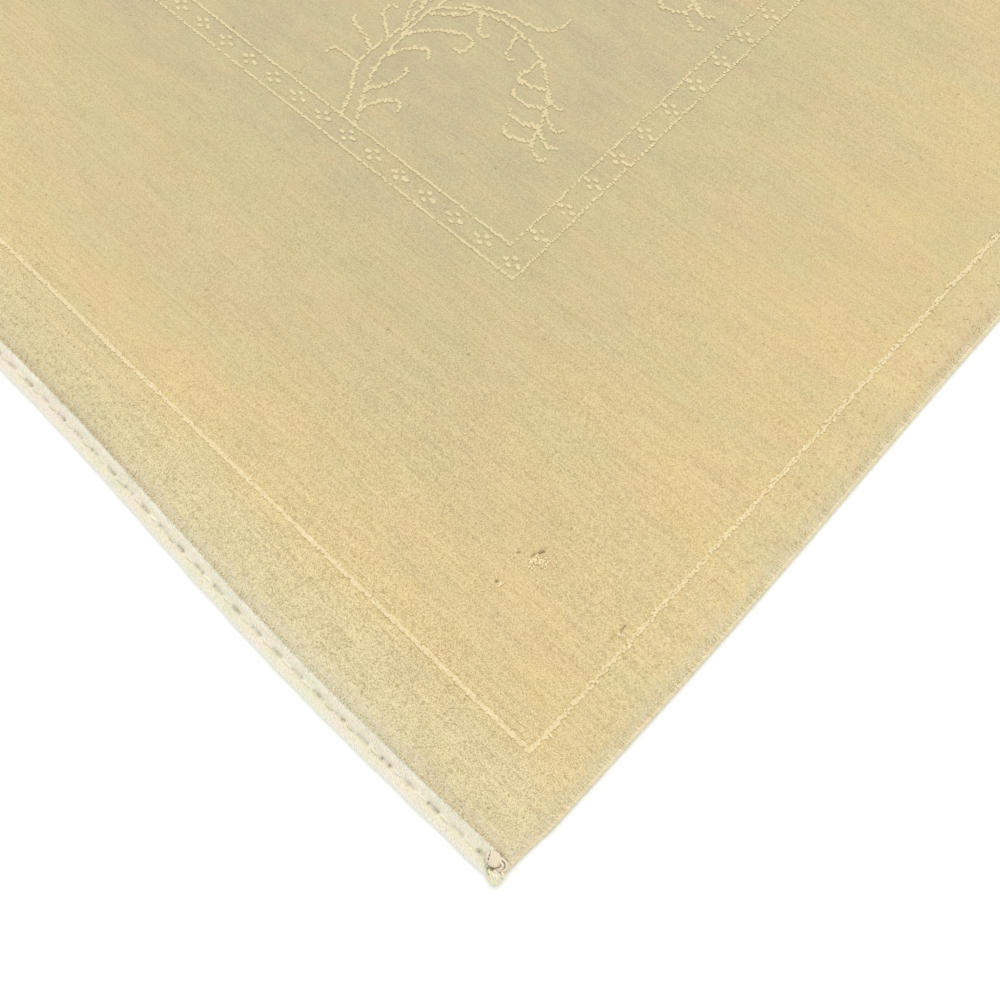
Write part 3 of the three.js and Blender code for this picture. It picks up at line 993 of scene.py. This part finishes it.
# Places scattered over the rug, of which chance keeps the share that belongs so far inside the wall
def scatter(step, insideWall, shareAt):
    lineX = np.arange(-rug["width"] / 2, rug["width"] / 2, step)
    lineY = np.arange(-rug["length"] / 2, rug["length"] / 2, step)
    gridX, gridY = np.meshgrid(lineX, lineY)
    x = (gridX + dice.uniform(-step / 2, step / 2, gridX.shape)).ravel()
    y = (gridY + dice.uniform(-step / 2, step / 2, gridY.shape)).ravel()
    inside = fromWall(x, y)
    nearSide = rug["width"] / 2 - np.abs(x) < rug["length"] / 2 - np.abs(y)
    share = shareAt(inside) * np.where(nearSide, looseWool["alongSides"], 1)
    keep = (inside > insideWall) & (dice.random(len(x)) < share)
    return x[keep], y[keep], inside[keep]


def marginStrands(inside):
    least = looseWool["fieldShare"]
    return least + (1 - least) * np.exp(-inside / looseWool["marginReach"])


def rimStrands(inside):
    return inside < looseWool["rimReach"]


def plantStrands():
    margin = scatter(looseWool["spacing"], looseWool["insideWall"], marginStrands)
    rim = scatter(looseWool["rimSpacing"], looseWool["rimInsideWall"], rimStrands)
    x, y, inside = np.hstack([margin, rim])
    count = len(x)
    # outwards is the way in which the distance from the wall falls fastest
    step = 0.5 * mm
    outX = fromWall(x - step, y) - fromWall(x + step, y)
    outY = fromWall(x, y - step) - fromWall(x, y + step)
    pull = looseWool["outwardPull"] * np.exp(-inside / looseWool["outwardReach"]) / (2 * step)
    aim = dice.uniform(0, 2 * math.pi, count)
    heading = np.arctan2(np.sin(aim) + outY * pull, np.cos(aim) + outX * pull)
    shorter = looseWool["rimShorter"] * np.exp(-inside / looseWool["rimReach"])
    length = dice.uniform(*looseWool["length"], count) * (1 - shorter)
    thick = dice.uniform(*looseWool["thick"], count)
    lift = dice.uniform(*looseWool["lift"], count)
    copies = curlStrands(x, y, heading, length, thick, lift)
    tint = dice.normal(*looseWool["tint"], count)
    pieces = []
    blocks = np.array_split(np.argsort(inside), math.ceil(count / looseWool["mostTogether"]))
    for index, block in enumerate(blocks):
        name = f"loose_wool_{index + 1}"
        values = {"tip": strandCorners[:, 2], "tint": tint[block][:, None]}
        mesh = joinCopies(name, copies[block], strandFaces, **values)
        pieces.append(addPiece(name, mesh, [woolStrands], "pile_body"))
    return pieces


strandPieces = plantStrands()

# Pale ends that stand up round the worn spots, and one stray thread across the frame line:
# place, how many, spread, length, heading and how far round it they turn
paleEnds = {
    "tufts": [
        (479.0, -737.6, 22, 3.4, 3.0, 20, 180),
        (484.0, -733.6, 18, 3.4, 3.0, 20, 180),
        (472.4, -765.8, 5, 1.6, 3.0, 70, 60),
        (556.6, -735.4, 6, 2.6, 3.0, 60, 60),
        (566.3, -816.2, 1, 0.0, 6.5, -4, 0),
    ],
    "thick": 0.75 * mm,
    "lift": 0.3 * mm,
    "lengths": (0.8, 1.2),
    "tint": (0.25, 0.1),
}


def plantPaleEnds():
    rows = [row for row in paleEnds["tufts"] for _ in range(row[2])]
    placeX, placeY, _, spreads, length, heading, turn = np.array(rows, float).T
    count = len(rows)
    x = (placeX + dice.normal(0, 1, count) * spreads / 2) * mm
    y = (placeY + dice.normal(0, 1, count) * spreads / 2) * mm
    aim = np.radians(heading + turn * dice.uniform(-1, 1, count))
    length = length * mm * dice.uniform(*paleEnds["lengths"], count)
    thick, lift = np.full(count, paleEnds["thick"]), np.full(count, paleEnds["lift"])
    copies = curlStrands(x, y, aim, length, thick, lift)
    tint = dice.normal(*paleEnds["tint"], count)[:, None]
    mesh = joinCopies("pale_wool_ends", copies, strandFaces, tint=tint)
    return addPiece("pale_wool_ends", mesh, [paleWool], "pile_body")


strandPieces.append(plantPaleEnds())
print("loose wool planted")

# The folded ends. The section runs from the hem turned under, round the outer fold, into the
# stitched valley and over the inner roll to the pile: inwards from the edge, then up.
# Plain numbers are millimetres across the fold, or shares of the way from stitch to stitch.
binding = {
    "section": [
        (15.5, 0.35), (11.0, 0.35), (6.5, 0.35), (3.2, 0.35), (1.5, 0.5), (0.5, 1.1), (0.1, 2.0),
        (0.4, 3.1), (1.3, 4.0), (2.9, 4.55), (4.7, 4.6), (6.3, 4.25), (7.5, 3.6), (8.3, 3.05),
        (8.8, 3.05), (9.5, 3.7), (10.4, 4.6), (11.7, 5.25), (13.2, 5.4), (14.7, 5.35), (16.0, 5.2),
        (17.2, 5.0), (18.2, 4.4),
    ],
    "steps": 800,
    "cloth": 0.9 * mm,
    "stitchPitch": 22 * mm,
    "stitchStart": 0.13,
    "threadShare": 0.54,
    "threadEnds": (0.56, 0.98, 0.035),
    "slit": (0.57, 0.97, 40),
    "slitUneven": (0.78, 0.22),
    "slitWave": (37 * mm, 2, 1.9 * mm),
    "valley": 8.55,
    "valleyWidth": 1.2,
    "valleyFill": 0.9,
    "slitDepth": 1.7,
    "threadDip": 0.6,
    "parted": 0.25,
    "swell": 0.044,
    "swellWave": (9 * mm, 0.8, 31 * mm),
    "innerWave": (0.35, 14.5 * mm, 12),
    "outerWave": (0.22, 7.3 * mm, 5),
    "lowest": 0.3,
}

# Painted light and shade across the fold: place, width and most. The pale ones are painted light that whitens
# the rounded outer edge and the inner roll; the dark ones are painted shade in the slits, at the thread ends
# and by the foot of the pile.
foldShades = {
    "outerPaintedLight": (0.0, 2.2, 0.85),
    "innerPaintedLight": [(16.2, 1.7, 0.9), (9.9, 1.3, 0.4)],
    "slit": (8.65, 1.5),
    "slitShade": (0.46, 0.4),
    "slitBreaks": (2.3 * mm, 3.7 * mm),
    "threadEndShade": 0.45,
    "foot": (16.6, 1.2, 0.15),
    "footWave": (17 * mm, 2, 41 * mm),
}


def stitchPhase(x):
    return np.mod(x / binding["stitchPitch"] + binding["stitchStart"], 1)


# Between two stitches the valley opens into a narrow slit
def slitOpen(x):
    phase = stitchPhase(x)
    start, stop, abrupt = binding["slit"]
    most, uneven = binding["slitUneven"]
    opened = (most + uneven * unevenWave(x, x, binding["slitWave"])) / (1 + np.exp(-abrupt * (phase - start)))
    return opened / (1 + np.exp(abrupt * (phase - stop)))


def threadEnds(x):
    phase = stitchPhase(x)
    first, last, width = binding["threadEnds"]
    return fade(phase - first, width) + fade(phase - last, width)


def foldPlace(x, inwards, up):
    opened = slitOpen(x)
    fromValley = inwards - binding["valley"]
    lifted = binding["valleyFill"] - binding["slitDepth"] * opened - binding["threadDip"] * threadEnds(x)
    up = up + lifted * fade(fromValley, binding["valleyWidth"])
    up = up * (1 + binding["swell"] * unevenWave(x, x, binding["swellWave"]))
    aside = np.sign(fromValley) * binding["parted"] * opened * fade(np.abs(fromValley) - 1, 1)
    most, length, start = binding["innerWave"]
    wavy = most * np.sin(x / length) * (inwards > start)
    most, length, stop = binding["outerWave"]
    wavy = wavy + most * np.sin(x / length + 1) * (inwards < stop)
    return inwards + aside + wavy * np.clip(up / 2, 0, 1), np.maximum(up, binding["lowest"])


# How much painted light and painted shade the cloth has at each place of the fold
def shadeFold(x, inwards, up):
    onTop = up > 1
    middle, width, most = foldShades["outerPaintedLight"]
    pale = most * fade(inwards - middle, width)
    for middle, width, most in foldShades["innerPaintedLight"]:
        pale = pale + most * fade(inwards - middle, width) * onTop
    middle, width = foldShades["slit"]
    (least, uneven), (first, second) = foldShades["slitShade"], foldShades["slitBreaks"]
    broken = least + uneven * np.sin(x / first) * np.sin(x / second + 1)
    shadeShare = np.clip(broken * slitOpen(x) + foldShades["threadEndShade"] * threadEnds(x), 0, 1)
    shadeShare = shadeShare * fade(inwards - middle, width) * onTop
    start, width, most = foldShades["foot"]
    foot = np.clip((inwards - start) / width, 0, 1) * onTop
    return pale, np.maximum(shadeShare, foot * most * (1 + unevenWave(x, x, foldShades["footWave"])))


def makeBinding(endName, way):
    section = np.array(binding["section"])
    lengths = np.r_[0, np.cumsum(np.hypot(*np.diff(section, axis=0).T))]
    bm, atX, atY = startGrid(binding["steps"], len(section) - 1)
    across = atX / binding["steps"]
    inwards, up = section[atY].T
    y = np.full(len(across), -rug["length"] / 2)
    inside = rug["selvageWidth"] + rug["seamGap"]
    for _ in range(3):
        low, high = leftEdge(y) + inside, rightEdge(y) - inside
        x = low + across * (high - low)
        foldY, foldZ = foldPlace(x, inwards, up)
        y = nearEdge(x) + foldY * mm
    setPlaces(bm, np.stack([x * way, y * way, foldZ * mm], 1))
    threads = bm.loops.layers.uv.new("threads")
    # painted shade in the slits, at the thread ends and by the pile's foot, and painted light on the outer
    # edge and inner roll
    paintedShade = bm.verts.layers.float.new("paintedShade")
    edge = bm.verts.layers.float.new("edge")
    paintedLights, shadeShares = shadeFold(x, inwards, up)
    for vert, pale, shadeShare, a, b in zip(bm.verts, paintedLights, shadeShares, x, lengths[atY] * mm):
        vert[paintedShade] = shadeShare
        vert[edge] = pale
        for loop in vert.link_loops:
            loop[threads].uv = (a, b)
    mesh = toMesh(bm, f"end_binding_{endName}")
    mesh.shade_smooth()
    piece = addPiece(f"folded_end_{endName}", mesh, [creamWeave], f"end_binding_{endName}")
    wall = piece.modifiers.new("cloth thickness", "SOLIDIFY")
    wall.thickness = binding["cloth"]
    wall.offset = -1


# The running stitch in the valley: a plump thread that comes up, lies along and dives again
stitch = {
    "length": 11.4 * mm,
    "thick": 1.15 * mm,
    "stations": 9,
    "sides": 6,
    "foot": 1.7 * mm,
    "rise": 2.3 * mm,
    "dive": 3.2,
    "thinEnds": 0.3,
    "halfRun": 585 * mm,
    "shift": 0.5 * mm,
    "sizes": (0.92, 1.06),
    "turn": 0.035,
    "heights": (0.92, 1.08),
    "tint": (0.12, 0.08),
}


def sewStitches(endName, way):
    bm = bmesh.new()
    t = np.linspace(-1, 1, stitch["stations"])
    rise = stitch["rise"] * (1 - np.abs(t) ** stitch["dive"])
    thick = stitch["thick"] * (1 - stitch["thinEnds"] * t**4)
    layYarn(bm, zip(t * stitch["length"] / 2, 0 * t, rise), thick, stitch["sides"])
    corners, faces = readShape(bm)
    pitch = binding["stitchPitch"]
    most = math.ceil(stitch["halfRun"] / pitch)
    middles = (np.arange(-most, most) + binding["threadShare"] / 2 - binding["stitchStart"]) * pitch
    middles = middles[np.abs(middles) < stitch["halfRun"]]
    count = len(middles)
    x = middles + dice.normal(0, stitch["shift"], count)
    size = dice.uniform(*stitch["sizes"], count)[:, None]
    turn = dice.normal(0, stitch["turn"], count)[:, None]
    x = x[:, None] + corners[:, 0] * size
    y = nearEdge(x) + binding["valley"] * mm + corners[:, 1] + corners[:, 0] * turn
    z = stitch["foot"] + corners[:, 2] * dice.uniform(*stitch["heights"], count)[:, None]
    name = f"running_stitch_{endName}"
    tint = dice.normal(*stitch["tint"], count)[:, None]
    mesh = joinCopies(name, np.stack([x * way, y * way, z], -1), faces, tint=tint)
    mesh.shade_smooth()
    addPiece(name, mesh, [stitchThread], f"end_binding_{endName}")


ends = (("near", 1), ("far", -1))
for endName, way in ends:
    makeBinding(endName, way)
for endName, way in ends:
    sewStitches(endName, way)
print("ends folded and stitched")

# The overcast sides: a cord of warps under close slanting turns of yarn, which rise from the
# outer foot over the cord to the wall of the pile
selvage = {
    "pitch": 1.6 * mm,
    "thick": 0.95 * mm,
    "slant": 1.5 * mm,
    "turn": [
        (1.5, 0.9), (1.75, 1.7), (1.6, 2.7), (0.9, 3.6),
        (-0.4, 4.3), (-1.8, 4.9), (-3.2, 5.4), (-4.6, 5.5),
    ],
    "fromEnd": 1.3 * mm,
    "shift": 0.2 * mm,
    "heights": (0.92, 1.08),
    "offFloor": 0.05 * mm,
    "tint": (0.05, 0.12),
    "cordRadius": 2.25 * mm,
    "cordHeight": 2.4 * mm,
    "cordSteps": 240,
    "cordFromEnd": 0.8 * mm,
    "cordTint": 0.1,
    "drawnIn": 3.2 * mm,
    "drawnReach": 55 * mm,
}


# The middle of the side cord, drawn in a little towards each corner by its knot
def cordMiddle(y):
    fromEnd = rug["length"] / 2 - np.abs(y)
    near = np.clip(1 - fromEnd / selvage["drawnReach"], 0, 1)
    return rightEdge(y) - selvage["drawnIn"] * (1 - (1 - near) ** 2) - rug["selvageWidth"] / 2


def wrapSide(sideName, way):
    low, high = float(nearEdge(rug["width"] / 2)), float(farEdge(rug["width"] / 2))
    core = bmesh.new()
    y = np.linspace(low + selvage["cordFromEnd"], high - selvage["cordFromEnd"], selvage["cordSteps"] + 1)
    cord = np.stack([cordMiddle(y) * way, y * way, np.full(len(y), selvage["cordHeight"])], 1)
    layYarn(core, cord.tolist(), selvage["cordRadius"], 10)
    bmesh.ops.recalc_face_normals(core, faces=core.faces[:])
    name = f"side_cord_{sideName}"
    mesh = toMesh(core, name)
    mesh.shade_smooth()
    setAttribute(mesh, "tint", np.full(len(mesh.vertices), selvage["cordTint"]))
    addPiece(name, mesh, [overcastYarn], f"selvage_{sideName}")
    bm = bmesh.new()
    across, up = np.array(selvage["turn"]).T * mm
    slant = selvage["slant"] * np.linspace(0.5, -0.5, len(up))
    layYarn(bm, zip(across, slant, up), selvage["thick"], 4)
    corners, faces = readShape(bm)
    middles = np.arange(low + selvage["fromEnd"], high - selvage["fromEnd"], selvage["pitch"])
    count = len(middles)
    y = middles[:, None] + dice.normal(0, selvage["shift"], count)[:, None] + corners[:, 1]
    x = cordMiddle(y) + corners[:, 0]
    z = corners[:, 2] * dice.uniform(*selvage["heights"], count)[:, None]
    copies = np.stack([x * way, y * way, np.maximum(z, selvage["offFloor"])], -1)
    name = f"side_wraps_{sideName}"
    mesh = joinCopies(name, copies, faces, tint=dice.normal(*selvage["tint"], count)[:, None])
    mesh.shade_smooth()
    addPiece(name, mesh, [overcastYarn], f"selvage_{sideName}")


for sideName, way in (("right", 1), ("left", -1)):
    wrapSide(sideName, way)
print("sides overcast")

# The corner knots, in millimetres from the middle of the knot: X towards the side, Y away from the end.
# A ball and the like is given by its middle, its half sizes, and its segments and rings.
cornerKnot = {
    "shift": (-2.6, 0.8, 0),
    "ball": ((-1.6, 1.8, -1.2), (5.8, 4.9, 2.5), 20, 12),
    "wound": [(-3.2, 24), (-1.2, 28), (0.9, 33), (3.0, 38)],
    "woundDepth": 0.84,
    "thread": 0.95,
    "tapered": 0.45,
    "loops": [
        [
            (1.0, 5.0, -0.8), (3.8, 6.0, -0.9), (6.6, 5.5, -1.2),
            (8.2, 3.6, -1.5), (7.9, 1.2, -1.8), (4.6, -2.4, -2.2),
        ],
        [(2.4, 3.4, 0.2), (4.8, 3.6, -0.2), (6.0, 2.0, -0.8), (5.6, 0.2, -1.3), (4.2, -1.6, -1.9)],
        [(3.2, -3.2, -1.5), (6.0, -3.0, -1.7), (8.6, -2.6, -2.2), (10.6, -2.1, -3.4)],
    ],
    # small dark blobs of painted shade in the gaps between the loops
    "shadeBlobs": [((1.7, -3.7, -2.4), (1.1, 0.9, 0.6), 8, 6), ((3.9, -0.7, -2.0), (0.7, 1.2, 0.5), 8, 6)],
    "threadTint": 0.3,
    "shadeBlobTint": -1.0,
    "tailTint": 0.15,
    "tailBed": ((6.2, -6.6, -4.4), (5.6, 4.4, 2.2), 14, 8),
    # ends of the side yarn that lie over the corner, each through three places
    "tails": [
        [(-1.8, -4.6, -2.4), (2.2, -7.2, -2.6), (6.0, -9.4, -5.0)],
        [(0.2, -5.0, -2.3), (4.4, -7.0, -2.3), (8.0, -10.0, -5.0)],
        [(2.0, -4.8, -2.1), (6.0, -6.2, -2.1), (10.0, -10.2, -5.2)],
        [(4.0, -4.2, -2.0), (8.0, -5.2, -2.2), (11.0, -8.6, -4.8)],
        [(5.6, -3.6, -2.0), (8.8, -4.0, -2.2), (11.3, -6.4, -4.4)],
        [(7.4, -0.6, -2.0), (9.4, -1.0, -2.4), (11.4, -3.4, -4.2)],
    ],
}


# A turn of the thread over the ball, seen in its surface
def woundOver(shift, spin):
    middle, (longX, wideY, highZ), *_ = cornerKnot["ball"]
    share = math.sqrt(1 - (shift / longX) ** 2) * cornerKnot["woundDepth"]
    turn = Matrix.Rotation(math.radians(spin), 3, "Z")
    points = []
    for angle in np.radians(np.linspace(8, 172, 11)).tolist():
        over = Vector((shift, wideY * share * math.cos(angle), highZ * share * math.sin(angle)))
        points.append(Vector(middle) + turn @ over)
    return points


# Yarn through a few places, thinner towards its far end
def layBentYarn(bm, places):
    points = np.vstack([curveThrough(places, 1.1), places[-1]])
    narrow = 1 - cornerKnot["tapered"] * np.linspace(0, 1, len(points)) ** 4
    layYarn(bm, points.tolist(), cornerKnot["thread"] * narrow, 6)


def roundBall(bm, middle, size, segments, rings):
    ball = bmesh.ops.create_uvsphere(bm, u_segments=segments, v_segments=rings, radius=1)["verts"]
    bmesh.ops.scale(bm, verts=ball, vec=size)
    bmesh.ops.translate(bm, verts=ball, vec=middle)
    return ball


# Puts what was made round a knot's middle in its place, mirrored to suit its corner
def seatPiece(bm, name, node, material):
    low, high = (Vector(corner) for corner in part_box(node))
    middle = (low + high) / 2
    facing = Vector((math.copysign(1, middle.x), -math.copysign(1, middle.y), 1))
    bmesh.ops.translate(bm, verts=bm.verts[:], vec=cornerKnot["shift"])
    bmesh.ops.scale(bm, verts=bm.verts[:], vec=facing * mm)
    bmesh.ops.translate(bm, verts=bm.verts[:], vec=middle)
    bmesh.ops.recalc_face_normals(bm, faces=bm.faces[:])
    mesh = toMesh(bm, name)
    mesh.shade_smooth()
    addPiece(name, mesh, [material], node)


def tieKnot(corner):
    node = f"corner_knot_{corner}"
    bm = bmesh.new()
    tint = bm.verts.layers.float.new("tint")
    for vert in roundBall(bm, *cornerKnot["ball"]):
        vert.co *= 1 + 0.03 * math.sin(vert.co.x / 0.7 + vert.co.y / 1.1)
    for shift, spin in cornerKnot["wound"]:
        layYarn(bm, woundOver(shift, spin), cornerKnot["thread"], 6)
    for places in cornerKnot["loops"]:
        layBentYarn(bm, places)
    for vert in bm.verts:
        vert[tint] = cornerKnot["threadTint"]
    # the shade blobs take the yarn's deep tone: painted shade
    for shadeBlob in cornerKnot["shadeBlobs"]:
        for vert in roundBall(bm, *shadeBlob):
            vert[tint] = cornerKnot["shadeBlobTint"]
    seatPiece(bm, f"tied_knot_{corner}", node, knotYarn)
    bm = bmesh.new()
    tint = bm.verts.layers.float.new("tint")
    roundBall(bm, *cornerKnot["tailBed"])
    for places in cornerKnot["tails"]:
        layBentYarn(bm, places)
    for vert in bm.verts:
        vert[tint] = cornerKnot["tailTint"]
    seatPiece(bm, f"corner_tails_{corner}", node, tailYarn)


for corner in ("near_right", "near_left", "far_left", "far_right"):
    tieKnot(corner)
print("corner knots tied")

# Floor, light and finish
studio = {
    "floor": "#F8F8F6",
    "floorFinish": (0.9, 0.5, 0.0, 0.5),
    "sky": 0.95,
    "sunTurn": (-38, -30, 0),
    "sun": 1.3,
    "sunSize": 60,
}
floorMesh = bmesh.new()
bmesh.ops.create_grid(floorMesh, x_segments=1, y_segments=1, size=20)
floor = bpy.data.objects.new("studio_floor", toMesh(floorMesh, "studio_floor"))
floor.location.z = -0.2 * mm
bpy.context.scene.collection.objects.link(floor)
floorPaint = startMaterial("pale_studio_floor", studio["floor"], studio["floorFinish"])[0]
floor.data.materials.append(floorPaint)

world = bpy.data.worlds.new("soft_studio")
world.use_nodes = True
world.node_tree.nodes["Background"].inputs["Color"].default_value = (1, 1, 1, 1)
world.node_tree.nodes["Background"].inputs["Strength"].default_value = studio["sky"]
bpy.context.scene.world = world

sunLight = bpy.data.lights.new("soft_window_light", "SUN")
sunLight.energy = studio["sun"]
sunLight.angle = math.radians(studio["sunSize"])
sun = bpy.data.objects.new("soft_window_light", sunLight)
sun.rotation_euler = Euler([math.radians(angle) for angle in studio["sunTurn"]], "XYZ")
bpy.context.scene.collection.objects.link(sun)

scene = bpy.context.scene
scene.view_settings.view_transform = "Standard"
scene.view_settings.look = "None"
scene.view_settings.exposure = 0
scene.view_settings.gamma = 1
